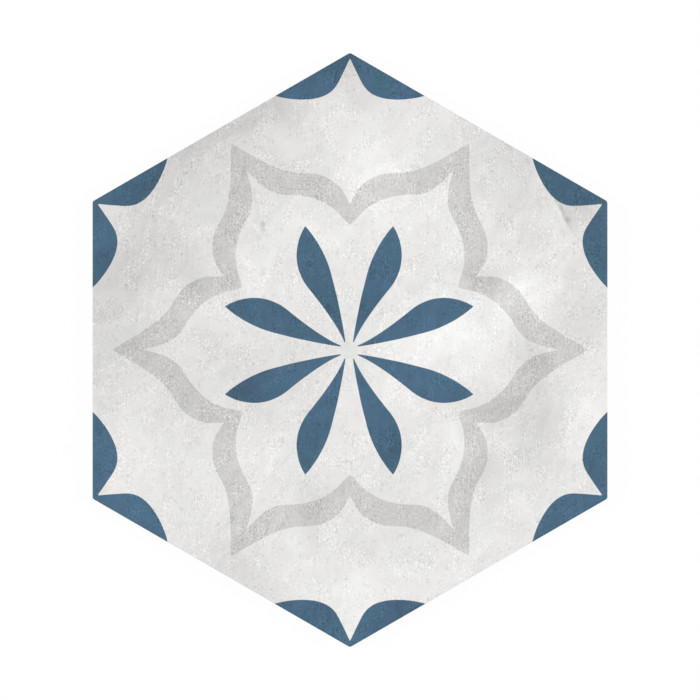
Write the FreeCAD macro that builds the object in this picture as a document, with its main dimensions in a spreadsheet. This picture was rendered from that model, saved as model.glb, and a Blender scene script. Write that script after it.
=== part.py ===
import FreeCAD, Part
import math
import os
import Sketcher

# A hexagonal floor tile of pressed and fired porcelain, in millimetres.
# It lies on its back: the bed is on Z = 0 and the decorated face looks up.
# Two flats look along X and two corners look along Y.

SIZES = [
    ("across_flats", 175.0, "flat to opposite flat, over the upright land"),
    ("thickness", 9.0, "bed to face"),
    ("land_height", 4.0, "upright upper part of each side"),
    ("skirt_draft", 4.0, "lean of the lower part of each side, degrees"),
    ("corner_radius", 0.8, "rounding of the six corners at the bed, where it is least"),
    ("arris_radius", 0.6, "rounding between the face and the sides"),
    ("back_chamfer", 0.5, "bevel round the edge of the bed"),
    ("rim_width", 6.0, "least plain border round the keyed part of the bed"),
    ("cell_pitch", 20.0, "centre to centre of the keying cells"),
    ("rib_width", 2.8, "rib between two cells, on the bed"),
    ("key_depth", 1.0, "depth of a keying cell"),
    ("key_draft", 18.0, "lean of a cell's walls, degrees"),
    ("cell_corner_radius", 3.5, "rounding of a cell's corners, on the bed"),
]

SIDES = 6
SIDE_ANGLE = 360.0 / SIDES
HALF_ANGLE = math.radians(SIDE_ANGLE / 2)
TOUCH = 1e-6

doc = FreeCAD.newDocument("hexagon_floor_tile")
sheet = doc.addObject("Spreadsheet::Sheet", "Sizes")
for row, (alias, value, meaning) in enumerate(SIZES, start=1):
    sheet.set("A%d" % row, alias)
    sheet.set("B%d" % row, str(value))
    sheet.set("C%d" % row, meaning)
    sheet.setAlias("B%d" % row, alias)
doc.recompute()


def value_of(expression):
    """What an expression over the sheet of sizes comes to."""
    return float(sheet.evalExpression(expression))


def level(heading, length):
    """A level vector of the given heading in degrees."""
    angle = math.radians(heading)
    return FreeCAD.Vector(length * math.cos(angle), length * math.sin(angle), 0)


def base_plane(body):
    """The body's own level plane."""
    return next(item for item in body.Origin.OriginFeatures if item.Role == "XY_Plane")


def hexagon_sketch(body, name, heading, apothem):
    """A level regular hexagon whose first side faces the heading.

    The apothem, from the centre to a side, is an expression over the sheet of sizes.
    """
    reach = value_of(apothem)
    half_side = reach * math.tan(HALF_ANGLE)
    sketch = body.newObject("Sketcher::SketchObject", name)
    sketch.AttachmentSupport = [(base_plane(body), "")]
    sketch.MapMode = "FlatFace"
    for side in range(SIDES):
        facing = heading + side * SIDE_ANGLE
        middle = level(facing, reach)
        along = level(facing + 90, half_side)
        sketch.addGeometry(Part.LineSegment(middle - along, middle + along), False)
    for side in range(SIDES):
        following = (side + 1) % SIDES
        sketch.addConstraint(Sketcher.Constraint("Coincident", side, 2, following, 1))
        distance = sketch.addConstraint(Sketcher.Constraint("Distance", -1, 1, side, reach))
        sketch.setExpression("Constraints[%d]" % distance, apothem)
    for side in range(1, SIDES):
        turn = math.radians(SIDE_ANGLE)
        sketch.addConstraint(Sketcher.Constraint("Angle", side - 1, side, turn))
    first_side = "Vertical" if heading % 180 == 0 else "Horizontal"
    sketch.addConstraint(Sketcher.Constraint(first_side, 0))
    return sketch


def round_corners(sketch, radius):
    """Round a hexagon sketch's corners alike. The radius is an expression over the sheet."""
    rounding = value_of(radius)
    for side in range(SIDES):
        sketch.fillet(side, 2, rounding)
    for arc in range(SIDES + 1, 2 * SIDES):
        sketch.addConstraint(Sketcher.Constraint("Equal", SIDES, arc))
    size = sketch.addConstraint(Sketcher.Constraint("Radius", SIDES, rounding))
    sketch.setExpression("Constraints[%d]" % size, radius)


def edges_where(shape, wanted):
    """Names of the edges whose boxes are wanted."""
    return ["Edge%d" % i for i, edge in enumerate(shape.Edges, start=1) if wanted(edge.BoundBox)]


def faces_where(shape, wanted):
    """Names of the faces whose boxes are wanted."""
    return ["Face%d" % i for i, face in enumerate(shape.Faces, start=1) if wanted(face.BoundBox)]


def rises(box):
    """Whether something is not level."""
    return box.ZLength > TOUCH


# The blank has a skirt that leans in towards the bed, and an upright land above it.
# The corners tighten down the skirt, to the corner radius at the bed.
blank = doc.addObject("PartDesign::Body", "Blank")
skirt_inset = "(Sizes.thickness - Sizes.land_height) * tan(Sizes.skirt_draft * 1deg)"
outline = hexagon_sketch(blank, "Outline", 0, "Sizes.across_flats / 2")
round_corners(outline, "Sizes.corner_radius + " + skirt_inset)
outline.setExpression("AttachmentOffset.Base.z", "Sizes.thickness - Sizes.land_height")

skirt = blank.newObject("PartDesign::Pad", "Skirt")
skirt.Profile = outline
skirt.Reversed = True
skirt.setExpression("Length", "Sizes.thickness - Sizes.land_height")
doc.recompute()

skirt_lean = blank.newObject("PartDesign::Draft", "SkirtLean")
skirt_lean.Base = (skirt, faces_where(skirt.Shape, rises))
skirt_lean.NeutralPlane = (skirt, faces_where(skirt.Shape, lambda box: box.ZMin > TOUCH))
skirt_lean.Reversed = True
skirt_lean.setExpression("Angle", "Sizes.skirt_draft")

land = blank.newObject("PartDesign::Pad", "Land")
land.Profile = outline
land.setExpression("Length", "Sizes.land_height")
doc.recompute()

face_height = value_of("Sizes.thickness")
arris = blank.newObject("PartDesign::Fillet", "Arris")
arris.Base = (land, edges_where(land.Shape, lambda box: box.ZMin > face_height - TOUCH))
arris.setExpression("Radius", "Sizes.arris_radius")
doc.recompute()

bevel = blank.newObject("PartDesign::Chamfer", "BackBevel")
bevel.Base = (arris, edges_where(arris.Shape, lambda box: box.ZMax < TOUCH))
bevel.setExpression("Size", "Sizes.back_chamfer")
blank.Tip = bevel

# The punch that presses one keying cell. It is widest at the bed, so that the tile leaves its
# die, and it stands as far below the bed as the cell is deep.
punch = doc.addObject("PartDesign::Body", "Punch")
mouth = hexagon_sketch(punch, "Mouth", 90, "(Sizes.cell_pitch - Sizes.rib_width) / 2")
round_corners(mouth, "Sizes.cell_corner_radius")

stem = punch.newObject("PartDesign::Pad", "Stem")
stem.Profile = mouth
stem.SideType = "Symmetric"
stem.setExpression("Length", "2 * Sizes.key_depth")
doc.recompute()

stem_lean = punch.newObject("PartDesign::Draft", "StemLean")
stem_lean.Base = (stem, faces_where(stem.Shape, rises))
stem_lean.NeutralPlane = (base_plane(punch), [""])
stem_lean.setExpression("Angle", "Sizes.key_draft")
doc.recompute()

# The cells stand in whole rings inside the plain rim, round a plain pad in the middle of the bed.
bed_apothem = value_of("Sizes.across_flats / 2 - Sizes.back_chamfer - " + skirt_inset)
cell_reach = value_of("(Sizes.cell_pitch - Sizes.rib_width) / 2") / math.cos(HALF_ANGLE)
pitch = value_of("Sizes.cell_pitch")
rim = value_of("Sizes.rim_width")
rings = math.floor((bed_apothem - rim - cell_reach) / (pitch * math.cos(HALF_ANGLE)))
step_one = level(SIDE_ANGLE * 0.5, pitch)
step_two = level(SIDE_ANGLE * 1.5, pitch)
copies = []
for first in range(-rings, rings + 1):
    for second in range(-rings, rings + 1):
        if abs(first + second) <= rings and (first, second) != (0, 0):
            copies.append(punch.Shape.translated(step_one * first + step_two * second))
honeycomb = doc.addObject("Part::Feature", "Honeycomb")
honeycomb.Shape = Part.makeCompound(copies)

tile = doc.addObject("Part::Cut", "Tile")
tile.Base = blank
tile.Tool = honeycomb
tile.Label = "tile"
tile.Placement = FreeCAD.Placement()
doc.recompute()

for item in doc.Objects:
    if "Invalid" in item.State or "Error" in item.State:
        raise RuntimeError("%s did not build: %s" % (item.Label, item.State))
if tile.Shape.isNull() or not tile.Shape.isValid() or len(tile.Shape.Solids) != 1:
    raise RuntimeError("%s is not one valid solid" % tile.Label)
os.makedirs("parts", exist_ok=True)
tile.Shape.exportStep("parts/%s.step" % tile.Label)
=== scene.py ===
"""A hexagonal floor tile with a printed star and petal ornament, lying face up on a pale floor."""

import math

import bpy
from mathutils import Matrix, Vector


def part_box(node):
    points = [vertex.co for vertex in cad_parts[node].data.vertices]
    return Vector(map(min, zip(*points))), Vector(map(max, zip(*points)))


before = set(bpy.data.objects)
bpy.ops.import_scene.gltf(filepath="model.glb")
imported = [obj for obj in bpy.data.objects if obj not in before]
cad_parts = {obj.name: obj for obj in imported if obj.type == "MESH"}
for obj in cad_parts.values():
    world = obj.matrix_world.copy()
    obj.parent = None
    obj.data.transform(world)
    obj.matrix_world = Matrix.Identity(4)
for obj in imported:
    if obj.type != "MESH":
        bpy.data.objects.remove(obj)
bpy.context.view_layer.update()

# Lengths are in millimetres here, and go to Blender through this factor.
MM = 0.001

TILE_HIGH = Vector(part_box("tile")[1]) / MM
APOTHEM = TILE_HIGH.x
FACE_HEIGHT = TILE_HIGH.z
SIDES = 6
# The turn from the middle of a side to the next corner.
CORNER_TURN = math.pi / SIDES
HALF_SIDE = APOTHEM * math.tan(CORNER_TURN)

# The spread of a noise texture about its middle.
NOISE_SPREAD = 0.12
# How far one step of the seed moves a pattern, in the pattern's own steps.
SEED_SHIFT = (7.3, 3.1, 5.7)
# The room that a curve has above and below its points, as a share of their height.
CURVE_ROOM = 0.05


class Value:
    """A node's output that takes part in sums: each sum adds one Math node."""

    def __init__(self, nodes, socket):
        self.nodes = nodes
        self.socket = socket

    def other(self, output):
        """Another output of the same node."""
        return Value(self.nodes, self.socket.node.outputs[output])

    def __add__(self, value):
        return self.nodes.sum("ADD", self, value)

    def __radd__(self, value):
        return self.nodes.sum("ADD", value, self)

    def __sub__(self, value):
        return self.nodes.sum("SUBTRACT", self, value)

    def __rsub__(self, value):
        return self.nodes.sum("SUBTRACT", value, self)

    def __mul__(self, value):
        return self.nodes.sum("MULTIPLY", self, value)

    def __rmul__(self, value):
        return self.nodes.sum("MULTIPLY", value, self)

    def __truediv__(self, value):
        return self.nodes.sum("DIVIDE", self, value)

    def __abs__(self):
        return self.nodes.sum("ABSOLUTE", self)


class Nodes:
    """One node tree, and the one way in which a node is added to it."""

    def __init__(self, tree):
        self.tree = tree
        tree.nodes.clear()

    def make(self, kind, settings=None, inputs=None, output=0):
        """Add a node with its settings first, then its sockets' values or links."""
        node = self.tree.nodes.new(kind)
        for name, setting in (settings or {}).items():
            if name == "curve":
                bend_curve(node.mapping, setting)
            else:
                setattr(node, name, setting)
        for key, given in (inputs or {}).items():
            if isinstance(given, Value):
                self.tree.links.new(given.socket, node.inputs[key])
            else:
                node.inputs[key].default_value = given
        return Value(self, node.outputs[output]) if node.outputs else None

    def sum(self, operation, first, second=0.0):
        return self.make("ShaderNodeMath", {"operation": operation}, {0: first, 1: second})

    def past(self, value, edge, softness):
        """0 below the edge and 1 above it, with a soft change between."""
        return self.make(
            "ShaderNodeMapRange",
            {"interpolation_type": "SMOOTHSTEP"},
            {0: value - edge, 1: -softness / 2, 2: softness / 2},
        )

    def below(self, value, edge, softness):
        """1 below the edge and 0 above it, with a soft change between."""
        return self.past(edge, value, softness)

    def follow(self, value, points):
        """A smooth curve through points of (input, output)."""
        inputs, outputs = zip(*points)
        span = inputs[-1] - inputs[0]
        room = CURVE_ROOM * (max(outputs) - min(outputs))
        low = min(outputs) - room
        rise = max(outputs) + room - low
        curve = [((x - inputs[0]) / span, (y - low) / rise) for x, y in points]
        place = (value - inputs[0]) / span
        return self.make("ShaderNodeFloatCurve", {"curve": curve}, {"Value": place}) * rise + low

    def scale(self, vector, factor):
        return self.make("ShaderNodeVectorMath", {"operation": "SCALE"}, {0: vector, "Scale": factor})

    def mix(self, factor, first, second):
        """The first colour where the factor is 0, and the second where it is 1."""
        return self.make("ShaderNodeMix", {"data_type": "RGBA"}, {0: factor, 6: first, 7: second}, 2)

    def spread(self, place, size, seed):
        """The place in steps of the size, moved away from other patterns by the seed."""
        steps = [1 / length for length in size] + [0] * (3 - len(size))
        return self.make(
            "ShaderNodeVectorMath",
            {"operation": "MULTIPLY_ADD"},
            {0: place, 1: steps, 2: [seed * shift for shift in SEED_SHIFT]},
        )

    def noise(self, place, size, seed, detail=2.0, roughness=0.5):
        """Noise about zero with a spread of about one; its size is (x, y) or (x, y, z)."""
        noise = self.make(
            "ShaderNodeTexNoise",
            {"noise_dimensions": f"{len(size)}D"},
            {
                "Vector": self.spread(place, size, seed),
                "Scale": 1.0,
                "Detail": detail,
                "Roughness": roughness,
            },
        )
        return (noise - 0.5) / NOISE_SPREAD

    def specks(self, place, spacing, seed, radius, share):
        """1 on small round specks, one in each cell of the spacing and only in a share of them."""
        cell = self.make(
            "ShaderNodeTexVoronoi",
            {"voronoi_dimensions": f"{len(spacing)}D"},
            {"Vector": self.spread(place, spacing, seed), "Scale": 1.0},
        )
        draw = self.make("ShaderNodeSeparateColor", None, {0: cell.other("Color")})
        reach = radius / spacing[0]
        return self.past(reach - cell, 0.0, reach) * self.below(draw, share, 0.02)


def bend_curve(mapping, points):
    """Move the curve's two own points to the ends, and add the others between."""
    curve = mapping.curves[0]
    curve.points[0].location = points[0]
    curve.points[1].location = points[-1]
    for point in points[1:-1]:
        curve.points.new(*point)
    mapping.update()


def tone(levels):
    """The linear colour of eight-bit tones."""
    linear = [((level / 255 + 0.055) / 1.055) ** 2.4 for level in levels]
    return (*linear, 1.0)


def tile_place(nodes):
    """Where a point of the tile is, in millimetres: the vector, and its x, y and z."""
    metres = nodes.make("ShaderNodeTexCoord").other("Object")
    place = nodes.scale(metres, 1 / MM)
    x = nodes.make("ShaderNodeSeparateXYZ", None, {0: place})
    return place, x, x.other("Y"), x.other("Z")


def from_middle(nodes, x, y, middle):
    """How far a point is to the right of a middle, above it, and away from it."""
    right = x - middle[0]
    up = y - middle[1]
    return right, up, nodes.sum("SQRT", right * right + up * up)


# The soft edge of printed shapes.
PRINT_SOFTNESS = 0.2

# Rosette: eight like petals, mirrored about both axes and both diagonals. A petal's middle line
# leans away from the nearest axis by an angle in degrees, and its two edges run beside that line.
ROSETTE_MIDDLE = (-0.28, -0.13)
PETAL_LEAN = 19.76
PETAL_ROOT = 3.15
PETAL_TIP = 44.8
PETAL_OUTER_EDGE = [
    (3.0, 0.56), (6.0, 0.84), (10.0, 1.57), (14.0, 2.55), (18.0, 3.71), (22.0, 5.01), (26.0, 6.32),
    (28.0, 6.72), (30.0, 6.89), (32.0, 6.87), (34.0, 6.57), (36.0, 6.04), (38.0, 5.22), (40.0, 4.11),
    (42.0, 2.68), (44.8, -0.2),
]
PETAL_INNER_EDGE = [
    (3.0, 0.27), (6.0, -0.34), (10.0, -1.03), (14.0, -1.63), (18.0, -2.19), (24.0, -2.8),
    (28.0, -3.13), (30.0, -3.18), (32.0, -3.1), (36.0, -2.66), (40.0, -1.82), (44.8, -0.2),
]
EYE_RADIUS = 2.75
EYE_SOFTNESS = 0.6

# Star band: its two edges as the distance from the middle, by the angle in degrees from a tip.
STAR_MIDDLE = (0.0, 0.1)
STAR_HALF_POINT = 30.0
STAR_OUTER_EDGE = [
    (0.0, 80.8), (1.4, 77.8), (3.0, 74.4), (5.0, 70.85), (8.4, 66.35), (12.8, 63.0), (16.5, 61.7),
    (20.2, 60.3), (23.45, 58.15), (26.7, 55.1), (28.2, 52.55), (30.0, 49.4),
]
STAR_INNER_EDGE = [
    (0.0, 70.7), (0.7, 67.2), (1.5, 64.2), (2.6, 61.7), (4.0, 59.5), (6.8, 57.3), (10.1, 55.95),
    (14.9, 53.7), (19.7, 50.9), (24.5, 47.2), (28.5, 43.4), (30.0, 42.6),
]

# Corner shape: its depth from the tile's side, by the distance along the side from the corner.
CORNER_EDGE = [
    (0.0, 1.5), (1.2, 1.95), (3.0, 3.15), (5.0, 4.53), (7.0, 5.87), (8.7, 6.97), (10.9, 8.02),
    (12.3, 8.37), (13.7, 8.49), (15.2, 8.39), (17.8, 7.79), (20.1, 6.85), (22.2, 5.75), (25.1, 3.84),
    (27.7, 1.75), (29.2, 0.3), (30.5, -1.2),
]


def petals(nodes, x, y):
    """1 on the rosette's eight petals."""
    across = abs(x - ROSETTE_MIDDLE[0])
    upward = abs(y - ROSETTE_MIDDLE[1])
    far = nodes.sum("MAXIMUM", across, upward)
    near = nodes.sum("MINIMUM", across, upward)
    lean = math.radians(PETAL_LEAN)
    along = far * math.cos(lean) + near * math.sin(lean)
    aside = near * math.cos(lean) - far * math.sin(lean)
    outer = nodes.below(aside, nodes.follow(along, PETAL_OUTER_EDGE), PRINT_SOFTNESS)
    inner = nodes.past(aside, nodes.follow(along, PETAL_INNER_EDGE), PRINT_SOFTNESS)
    begun = nodes.past(along, PETAL_ROOT, PRINT_SOFTNESS)
    ended = nodes.past(along, PETAL_TIP, PRINT_SOFTNESS)
    return outer * inner * begun * (1 - ended)


def rosette_eye(nodes, x, y):
    """1 on the small plain round in the rosette's middle."""
    _, _, away = from_middle(nodes, x, y, ROSETTE_MIDDLE)
    return nodes.below(away, EYE_RADIUS, EYE_SOFTNESS)


def star_fold(nodes, x, y):
    """Distance from the star's middle, and the angle from the nearest tip, in degrees."""
    right, up, reach = from_middle(nodes, x, y, STAR_MIDDLE)
    turn = nodes.sum("ARCTAN2", up, right) * math.degrees(1)
    return reach, nodes.sum("PINGPONG", turn, STAR_HALF_POINT)


def star_band(nodes, reach, folded):
    """1 on the grey band of the star."""
    in_outer = nodes.below(reach, nodes.follow(folded, STAR_OUTER_EDGE), PRINT_SOFTNESS)
    in_inner = nodes.below(reach, nodes.follow(folded, STAR_INNER_EDGE), PRINT_SOFTNESS)
    return in_outer * (1 - in_inner)


def corner_shapes(nodes, reach, folded):
    """1 on the shapes that fill the tile's corners."""
    angle = folded * math.radians(1)
    depth = APOTHEM - reach * nodes.sum("COSINE", angle)
    along = HALF_SIDE - reach * nodes.sum("SINE", angle)
    return nodes.below(depth, nodes.follow(along, CORNER_EDGE), PRINT_SOFTNESS)


# The way in which the cement look was wiped, in degrees from upright.
WIPE_LEAN = -30

# Noise: the size of its spots in millimetres, its seed, and for some its detail and roughness.
# Sway and drift move the patterns to and fro by about this reach.
SWAY = ((34, 34), 3)
DRIFT = ((34, 34), 4)
SWAY_REACH = 3.5
SLOW_CLOUD = ((22, 50), 5)
SLOW_CLOUD_TONE = 1.5
VEIN_WANDER = ((19, 27), 22, 2.5)
VEIN_PIECES = ((11, 11), 23)

# A vein runs where the wandering noise comes near a level: the level, and how near.
PALE_VEIN = (0.5, 0.06)
DARK_VEIN = (-0.6, 0.05)

# Clouding of the print's ground: middle (x, y), half lengths, turn in degrees, and tone.
CLOUDS = [
    (-52, 62, 66, 34, 30, -17),
    (-42, 76, 50, 18, 30, -13),
    (-67, 28, 36, 26, 10, -13),
    (-51, 28, 16, 17, 20, -9),
    (-88, 6, 30, 46, 0, -18),
    (-21, 82, 18, 14, 30, -12),
    (2, 100, 27, 21, 0, -17),
    (68, 64, 38, 20, -30, -18),
    (52, 52, 24, 14, -55, -9),
    (82, 11, 17, 27, 0, -13),
    (62, -22, 15, 33, 8, -14),
    (88, -27, 18, 18, 0, 9),
    (58, 19, 16, 14, 0, 17),
    (46, 29, 11, 9, 0, -15),
    (31, 5, 34, 20, 10, 18),
    (61, -1, 12, 11, 0, -14),
    (46, -20, 12, 13, 0, -12),
    (12, -10, 15, 18, 0, 8),
    (9, 60, 20, 36, 0, 13),
    (28, 46, 17, 16, 0, 8),
    (-12, 36, 24, 13, 0, 8),
    (-36, -7, 50, 22, 0, -10),
    (-34, 28, 13, 14, 0, 9),
    (-54, -24, 26, 12, 0, -6),
    (-8, -53, 11, 13, 0, -14),
    (-25, -44, 13, 14, 0, 6),
    (-36, -76, 32, 16, -30, -9),
    (0, -87, 20, 20, 0, 12),
    (30, -73, 34, 18, 20, 8),
    (47, -46, 12, 19, -10, -7),
    (36, -38, 16, 13, 0, 10),
]
# Small marks of the cement look, laid out like the clouds.
MARKS = [
    (73.0, 44.8, 10, 0.9, -63, -10),
    (74.1, 44.3, 1.9, 1.5, -60, -22),
    (71.9, 48.2, 2.3, 1.0, -60, -16),
    (70.3, 48.5, 5.5, 1.9, -60, 8),
    (75.3, 39.8, 5, 0.6, -60, 9),
    (-29.7, 42.7, 1.9, 1.3, 90, -24),
    (-29.3, 40.2, 3.0, 1.6, -70, -10),
    (-31.7, 41.3, 4.8, 1.3, -60, 8),
    (59.5, -23, 13, 3.6, 80, -5),
    (66, -24, 12, 3.2, 88, -5),
]
# A darker field towards the upper right corner, which ends at a crease.
FIELD = (72, 46, 15, 22, -63, -14)
CREASE_SOFTNESS = 0.5


def swayed_place(nodes, place, x, y):
    """The place on the face, moved a little to and fro, so that no pattern runs straight."""
    sway = nodes.noise(place, *SWAY) * SWAY_REACH
    drift = nodes.noise(place, *DRIFT) * SWAY_REACH
    return nodes.make("ShaderNodeCombineXYZ", None, {0: x + sway, 1: y + drift})


def along_wiping(nodes, place):
    """The place in a frame whose upright axis lies along the wiping."""
    return nodes.make(
        "ShaderNodeMapping",
        {"vector_type": "TEXTURE"},
        {"Vector": place, "Rotation": (0, 0, math.radians(WIPE_LEAN))},
    )


def cloud(nodes, place, shape, cut=False):
    """A soft oval patch of one tone; a cut one is only on the left of its own long axis."""
    x, y, half_length, half_width, turn, strength = shape
    oval = nodes.make(
        "ShaderNodeMapping",
        {"vector_type": "TEXTURE"},
        {
            "Vector": place,
            "Location": (x, y, 0),
            "Rotation": (0, 0, math.radians(turn)),
            "Scale": (half_length, half_width, 1),
        },
    )
    # Nearness falls from 1 in the oval's middle to 0 at its rim.
    near = nodes.make("ShaderNodeTexGradient", {"gradient_type": "SPHERICAL"}, {0: oval}, "Fac")
    patch = nodes.past(near, edge=0.5, softness=1.0) * strength
    if cut:
        aside = nodes.make("ShaderNodeSeparateXYZ", None, {0: oval}).other("Y")
        patch = patch * nodes.past(aside, 0.0, CREASE_SOFTNESS / half_width)
    return patch


def clouding(nodes, swayed, wiped, x, y):
    """The large, uneven clouds of the cement look, in tones."""
    level = nodes.make("ShaderNodeCombineXYZ", None, {0: x, 1: y})
    total = cloud(nodes, level, FIELD, cut=True)
    for shape in MARKS:
        total += cloud(nodes, level, shape)
    for shape in CLOUDS:
        total += cloud(nodes, swayed, shape)
    return total + nodes.noise(wiped, *SLOW_CLOUD) * SLOW_CLOUD_TONE


def vein(nodes, wander, level, nearness):
    """1 where the wandering noise is at the level, falling softly to both sides."""
    return nodes.below(abs(wander - level), nearness, 2 * nearness)


def veins(nodes, place):
    """Thin, broken, winding lines of the cement look: 1 on a pale vein, -1 on a dark one."""
    wander = nodes.noise(place, *VEIN_WANDER)
    pieces = nodes.past(nodes.noise(place, *VEIN_PIECES), edge=0.2, softness=1.2)
    return (vein(nodes, wander, *PALE_VEIN) - vein(nodes, wander, *DARK_VEIN)) * pieces


# Tones of the print as eight-bit values of red, green and blue.
GROUND_WARM = (236.6, 234.2, 232.8)
GROUND_COOL = (234.1, 233.7, 231.6)
EYE = (229, 230.5, 227)
BAND = (210.1, 207.8, 206.4)
INK = (67, 98.6, 125)
INK_TEAL = (63, 98.4, 121)

# A step of one eight-bit tone as a share of the light that a pale or a dark surface gives back.
PALE_STEP = 0.0098
INK_STEP = 0.0203

# Noise of the print, given as above. Specks: their spacing in millimetres, seed, radius and share.
GRAIN = ((0.47, 0.76, 0.6), 6, 3.0, 0.62)
FIBRE = ((0.55, 4.2), 8, 3.0)
MOTTLE = ((4.8, 8.5), 7, 3.0)
SMUDGE = ((2.0, 4.0), 21, 3.0, 0.66)
SANDINESS = ((5.5, 9), 20, 3.0, 0.6)
WARMTH = ((9, 14), 10, 3.0)
INK_HUE = ((9, 13), 11, 4.0)
INK_CLOUD = ((24, 24), 9)
PALE_SPECKS = ((1.7, 1.7), 1, 0.42, 0.35)
DARK_SPECKS = ((3.1, 3.1), 2, 0.5, 0.25)

# Sand is grain with a share of fibre in it. It is coarser where the ground is sandier than on the
# whole, though less so on the band, and nearly plain on the rosette's eye.
FIBRE_SHARE = 0.22
MEAN_SANDINESS = 0.43
COARSER_IN_SAND = 1.9
EYE_CALM = 0.7

# Tones that each pattern adds to the pale ground, with more or less on the band.
SAND_TONE = 6.6
SAND_MORE_ON_BAND = 7.6
MOTTLE_TONE = 2.2
MOTTLE_MORE_ON_BAND = 1.0
DARK_STAIN_TONE = -7
PALE_STAIN_TONE = 4
PALE_SPECK_TONE = 2
PALE_SPECK_MORE_IN_SAND = 9
DARK_SPECK_TONE = 10
VEIN_TONE = 5
CLOUD_LESS_ON_BAND = 0.1

# Tones of painted light on the arris and the glazed top of the sides: the print is made paler there
# to cancel the shade that the arris's tilt gets from the lamps.
ARRIS_PAINTED_LIGHT = 12

# Tones that each pattern adds to the ink.
SAND_TONE_ON_INK = 8.2
MOTTLE_TONE_ON_INK = 2.2
SMUDGE_TONE_ON_INK = 1.9
DARK_SPECK_TONE_ON_INK = 6
INK_CLOUD_TONE = 3.6
CLOUDS_ON_INK = 0.35

# How much each tone of paler clouding cools the ground.
CLOUD_COOLING = 0.05

# How strongly glaze and body mirror their surroundings: less than a gloss glaze does.
MATT_SHINE = 0.35
GLAZE_ROUGHNESS = 0.6
INK_SMOOTHER = 0.05
GRAIN_ROUGHER = 0.02
MOTTLE_ROUGHER = 0.012

# Relief of the glaze in millimetres.
GRAIN_RELIEF = 0.0035
MOTTLE_RELIEF = 0.006


def printed_glaze(nodes, place, x, y, z):
    """Matt glaze with the ornament printed in it, on a clouded and sandy cement look."""
    reach, folded = star_fold(nodes, x, y)
    band = star_band(nodes, reach, folded)
    eye = rosette_eye(nodes, x, y)
    ink = nodes.sum("MAXIMUM", petals(nodes, x, y), corner_shapes(nodes, reach, folded))

    swayed = swayed_place(nodes, place, x, y)
    wiped = along_wiping(nodes, swayed)
    clouds = clouding(nodes, swayed, wiped, x, y)
    mottle = nodes.noise(wiped, *MOTTLE)
    smudge = nodes.noise(place, *SMUDGE)
    dark_specks = nodes.specks(place, *DARK_SPECKS)
    grain = nodes.noise(place, *GRAIN)
    fibre = nodes.noise(place, *FIBRE)
    sandy = nodes.past(nodes.noise(wiped, *SANDINESS), edge=0.2, softness=2.8)
    coarse = 1 + (sandy - MEAN_SANDINESS) * (COARSER_IN_SAND - band)
    sand = (grain + fibre * FIBRE_SHARE) * coarse * (1 - EYE_CALM * eye)

    pale_tone = sand * (SAND_TONE + SAND_MORE_ON_BAND * band)
    pale_tone += mottle * (MOTTLE_TONE + MOTTLE_MORE_ON_BAND * band)
    pale_tone += nodes.past(smudge, edge=1.5, softness=1.4) * DARK_STAIN_TONE
    pale_tone += nodes.below(smudge, edge=-1.7, softness=1.2) * PALE_STAIN_TONE
    speck_tone = PALE_SPECK_TONE + PALE_SPECK_MORE_IN_SAND * sandy
    pale_tone += nodes.specks(place, *PALE_SPECKS) * speck_tone - dark_specks * DARK_SPECK_TONE
    pale_tone += veins(nodes, place) * VEIN_TONE + clouds * (1 - CLOUD_LESS_ON_BAND * band)
    # Painted light: the print is paler below the flat of the face, on the arris and glazed sides, to
    # cancel their shade.
    pale_tone += nodes.past(FACE_HEIGHT - z, edge=0.1, softness=0.1) * ARRIS_PAINTED_LIGHT

    ink_tone = sand * SAND_TONE_ON_INK + mottle * MOTTLE_TONE_ON_INK + smudge * SMUDGE_TONE_ON_INK
    ink_tone += nodes.noise(place, *INK_CLOUD) * INK_CLOUD_TONE + clouds * CLOUDS_ON_INK
    ink_tone -= dark_specks * DARK_SPECK_TONE_ON_INK

    warmth = nodes.noise(wiped, *WARMTH) - clouds * CLOUD_COOLING
    warm = nodes.past(warmth, edge=0.0, softness=3.0)
    ground = nodes.mix(warm, tone(GROUND_COOL), tone(GROUND_WARM))
    ground = nodes.mix(eye, ground, tone(EYE))
    pale = nodes.scale(nodes.mix(band, ground, tone(BAND)), 1 + pale_tone * PALE_STEP)
    teal = nodes.past(nodes.noise(place, *INK_HUE), edge=0.0, softness=3.0)
    blue = nodes.scale(nodes.mix(teal, tone(INK), tone(INK_TEAL)), 1 + ink_tone * INK_STEP)

    roughness = GLAZE_ROUGHNESS - INK_SMOOTHER * ink
    roughness += grain * GRAIN_ROUGHER + mottle * MOTTLE_ROUGHER
    relief = grain * GRAIN_RELIEF + mottle * MOTTLE_RELIEF
    return matt_surface(nodes, nodes.mix(ink, pale, blue), roughness, relief)


# Tones of the raw body, and of what lies in it and on it.
BODY = (206, 198, 184)
BODY_DARK = (188, 177, 160)
IRON = (118, 96, 74)
KILN_WASH = (232, 229, 222)

# Noise and specks of the raw body, given as those of the print.
GRIT = ((0.45, 0.45, 0.45), 12, 3.0, 0.6)
STAIN = ((14, 14, 5), 13, 3.0)
PRESS_LINES = ((1.3, 1.3, 40), 14)
WASH_WEAR = ((2.4, 2.4), 15, 4.0, 0.6)
IRON_SPECKS = ((2.6, 2.6, 2.6), 3, 0.3, 0.3)
PITS = ((1.9, 1.9, 1.9), 4, 0.3, 0.35)

# Shares of the body's light that grit and press lines change, and what iron and wash cover.
GRIT_SHADE = 0.03
PRESS_SHADE = 0.008
IRON_COVER = 0.8
WASH_COVER = 0.85
# The wash clings to the bed up to this height.
WASH_HEIGHT = 0.12

BODY_ROUGHNESS = 0.86
GRIT_ROUGHER = 0.02
WASH_ROUGHER = 0.06

# Relief of the raw body in millimetres.
GRIT_RELIEF = 0.012
PRESS_RELIEF = 0.006
PIT_DEPTH = 0.06
WASH_RELIEF = 0.02

# Where the glaze ends on the sides: its mean height, how far runs reach, and its soft edge.
GLAZE_END = 7.3
GLAZE_RUNS = ((6.5, 6.5), 16, 3.0, 0.6)
RUN_REACH = 0.35
GLAZE_EDGE = 0.25


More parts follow.
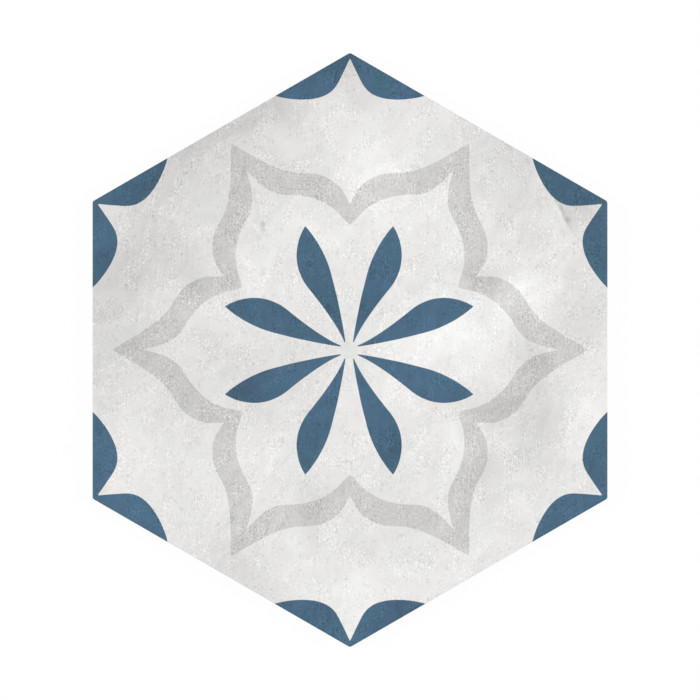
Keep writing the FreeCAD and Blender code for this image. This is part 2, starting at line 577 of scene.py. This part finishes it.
def raw_body(nodes, place, z):
    """Fired stoneware with a dusting of kiln wash where it stood on the kiln's rollers."""
    grit = nodes.noise(place, *GRIT)
    press = nodes.noise(place, *PRESS_LINES)
    stain = nodes.past(nodes.noise(place, *STAIN), edge=0.3, softness=4.0)
    iron = nodes.specks(place, *IRON_SPECKS)
    pits = nodes.specks(place, *PITS)
    worn = nodes.past(nodes.noise(place, *WASH_WEAR), edge=-0.5, softness=2.2)
    wash = nodes.below(z, WASH_HEIGHT, WASH_HEIGHT) * worn

    clay = nodes.mix(stain, tone(BODY), tone(BODY_DARK))
    clay = nodes.scale(clay, 1 + grit * GRIT_SHADE + press * PRESS_SHADE)
    clay = nodes.mix(iron * IRON_COVER, clay, tone(IRON))
    colour = nodes.mix(wash * WASH_COVER, clay, tone(KILN_WASH))
    roughness = BODY_ROUGHNESS + grit * GRIT_ROUGHER + wash * WASH_ROUGHER
    relief = grit * GRIT_RELIEF + press * PRESS_RELIEF - pits * PIT_DEPTH + wash * WASH_RELIEF
    return matt_surface(nodes, colour, roughness, relief)


def matt_surface(nodes, colour, roughness, relief):
    """A surface whose relief is given in millimetres."""
    bump = nodes.make("ShaderNodeBump", None, {"Strength": 1.0, "Distance": MM, "Height": relief})
    return nodes.make(
        "ShaderNodeBsdfPrincipled",
        None,
        {
            "Base Color": colour,
            "Roughness": roughness,
            "Specular IOR Level": MATT_SHINE,
            "Normal": bump,
        },
    )


def tile_finish():
    """Printed glaze over the face and its arris, which ends unevenly on the raw sides."""
    material = bpy.data.materials.new("printed_matt_glaze_on_stoneware")
    material.use_nodes = True
    nodes = Nodes(material.node_tree)
    place, x, y, z = tile_place(nodes)
    end = GLAZE_END - nodes.noise(place, *GLAZE_RUNS) * RUN_REACH
    glazed = nodes.past(z, end, GLAZE_EDGE)
    body = raw_body(nodes, place, z)
    glaze = printed_glaze(nodes, place, x, y, z)
    surface = nodes.make("ShaderNodeMixShader", None, {0: glazed, 1: body, 2: glaze})
    nodes.make("ShaderNodeOutputMaterial", None, {"Surface": surface})
    return material


# The tile's map for baking, on a picture one unit wide. The sides are split at a height. What is
# above it is folded out round the face, and what is below it round the back, as far in as the rim.
# Face and back each have a share of the picture, the span in millimetres that fills this share,
# and the place of their middle.
SPLIT_HEIGHT = 5
RIM_WIDTH = 3
FACE_SHARE = 0.84
FACE_SPAN = 211.4
FACE_PLACE = (0.369, 0.424)
BACK_SHARE = 0.402
BACK_SPAN = 213.4
BACK_PLACE = (0.8215, 0.7945)


def lay_out_map(tile):
    """Lay the face out large for baking, and the back small beside it."""
    tree = bpy.data.node_groups.new("map_layout", "GeometryNodeTree")
    for way in ("INPUT", "OUTPUT"):
        tree.interface.new_socket("Geometry", in_out=way, socket_type="NodeSocketGeometry")
    nodes = Nodes(tree)
    mesh = nodes.make("NodeGroupInput")
    place = nodes.scale(nodes.make("GeometryNodeInputPosition"), 1 / MM)
    x = nodes.make("ShaderNodeSeparateXYZ", None, {0: place})
    y, z = x.other("Y"), x.other("Z")

    facet_height = nodes.make("GeometryNodeFieldOnDomain", {"domain": "FACE"}, {0: z})
    upper = nodes.past(facet_height, SPLIT_HEIGHT, softness=0.02)
    slant = abs(x) * math.sin(CORNER_TURN) + abs(y) * math.cos(CORNER_TURN)
    outward = nodes.sum("MAXIMUM", abs(x), slant)
    rim = nodes.past(outward, APOTHEM - RIM_WIDTH, softness=0.1)
    folded_out = z * rim + (FACE_HEIGHT - z - z * rim) * upper
    grow = 1 + folded_out / APOTHEM

    face_scale = FACE_SHARE / FACE_SPAN
    back_scale = BACK_SHARE / BACK_SPAN
    size = back_scale + (face_scale - back_scale) * upper
    mirror = upper * 2 - 1
    across = x * grow * size * mirror + BACK_PLACE[0] + (FACE_PLACE[0] - BACK_PLACE[0]) * upper
    upward = y * grow * size + BACK_PLACE[1] + (FACE_PLACE[1] - BACK_PLACE[1]) * upper
    spot = nodes.make("ShaderNodeCombineXYZ", None, {0: across, 1: upward})
    mapped = nodes.make(
        "GeometryNodeStoreNamedAttribute",
        {"data_type": "FLOAT2", "domain": "CORNER"},
        {"Geometry": mesh, "Name": "OFBake", "Value": spot},
    )
    nodes.make("NodeGroupOutput", None, {0: mapped})
    tile.modifiers.new("map_layout", "NODES").node_group = tree


def finish_tile():
    """Give the tile its map and its finish."""
    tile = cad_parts["tile"]
    lay_out_map(tile)
    material = tile_finish()
    for slot in tile.material_slots:
        slot.link = "OBJECT"
        slot.material = material


# The floor shows as white, and takes a share of the shade that a real one would.
FLOOR_SIZE = 3000
FLOOR_LAP = 1.5
FLOOR_ALBEDO = 0.9
FLOOR_SHADE = 0.06
FLOOR_WHITE = 1.005

# Half of the light comes from all round, and half from two soft boxes left and right.
SKY_LIGHT = 0.5
BOX_DISTANCE = 1200
BOX_RISE = 45
BOX_SIZE = 700

# The camera looks straight down with a long lens, so the face keeps its shape.
LENS = 200
SENSOR = 36
PICTURE_WIDTH = 237.8


def seen_directly(nodes):
    """1 for rays that show the surroundings themselves: to the camera, mirrored or through glass."""
    camera = nodes.make("ShaderNodeLightPath")
    mirrored = nodes.sum("MAXIMUM", camera, camera.other("Is Glossy Ray"))
    return nodes.sum("MAXIMUM", mirrored, camera.other("Is Transmission Ray"))


def make_floor():
    """A pale floor that renders white, and keeps a faint share of the tile's shadow.

    It is open under the tile, all but a narrow lap, so that the tile's back shows from below.
    """
    opening = (APOTHEM - FLOOR_LAP) / math.cos(CORNER_TURN)
    points = []
    for reach in (opening, FLOOR_SIZE / 2):
        for corner in range(SIDES):
            way = (2 * corner + 1) * CORNER_TURN
            points.append((reach * math.cos(way) * MM, reach * math.sin(way) * MM, 0))
    faces = []
    for corner in range(SIDES):
        after = (corner + 1) % SIDES
        faces.append((corner, corner + SIDES, after + SIDES, after))
    mesh = bpy.data.meshes.new("floor")
    mesh.from_pydata(points, [], faces)
    floor = bpy.data.objects.new("floor", mesh)
    bpy.context.scene.collection.objects.link(floor)

    material = bpy.data.materials.new("white_floor")
    material.use_nodes = True
    nodes = Nodes(material.node_tree)
    shaded = nodes.make("ShaderNodeBsdfDiffuse", None, {"Color": (FLOOR_ALBEDO,) * 3 + (1,)})
    level = (FLOOR_WHITE - FLOOR_SHADE * FLOOR_ALBEDO) / (1 - FLOOR_SHADE)
    white = nodes.make("ShaderNodeEmission", None, {"Strength": level})
    share = seen_directly(nodes) * (1 - FLOOR_SHADE)
    surface = nodes.make("ShaderNodeMixShader", None, {0: share, 1: shaded, 2: white})
    nodes.make("ShaderNodeOutputMaterial", None, {"Surface": surface})
    mesh.materials.append(material)


def make_sky():
    """Even light from all round; white where it is seen directly."""
    world = bpy.data.worlds.new("sky")
    bpy.context.scene.world = world
    world.use_nodes = True
    nodes = Nodes(world.node_tree)
    strength = SKY_LIGHT + (1 - SKY_LIGHT) * seen_directly(nodes)
    sky = nodes.make("ShaderNodeBackground", None, {"Color": (1, 1, 1, 1), "Strength": strength})
    nodes.make("ShaderNodeOutputWorld", None, {"Surface": sky})


def make_soft_boxes():
    """Two soft boxes, left and right above the tile, that give what the sky leaves out."""
    rise = math.radians(BOX_RISE)
    distance = BOX_DISTANCE * MM
    # A sky of strength 1 lights the face by pi, and each box gives half of what is left of it.
    light_on_face = (1 - SKY_LIGHT) * math.pi / 2
    for name, side in (("soft_box_left", -1), ("soft_box_right", 1)):
        data = bpy.data.lights.new(name, "AREA")
        data.shape = "SQUARE"
        data.size = BOX_SIZE * MM
        data.energy = light_on_face * math.pi * distance**2 / math.sin(rise)
        box = bpy.data.objects.new(name, data)
        away = Vector((side * math.cos(rise), 0, math.sin(rise)))
        box.location = away * distance
        box.rotation_euler = away.to_track_quat("Z", "Y").to_euler()
        bpy.context.scene.collection.objects.link(box)


def place_camera():
    data = bpy.data.cameras.new("camera")
    data.lens = LENS
    data.sensor_width = SENSOR
    camera = bpy.data.objects.new("camera", data)
    camera.location = (0, 0, (FACE_HEIGHT + PICTURE_WIDTH * LENS / SENSOR) * MM)
    bpy.context.scene.collection.objects.link(camera)
    bpy.context.scene.camera = camera


place_camera()
make_floor()
make_sky()
make_soft_boxes()
finish_tile()
bpy.context.scene.view_settings.view_transform = "Standard"
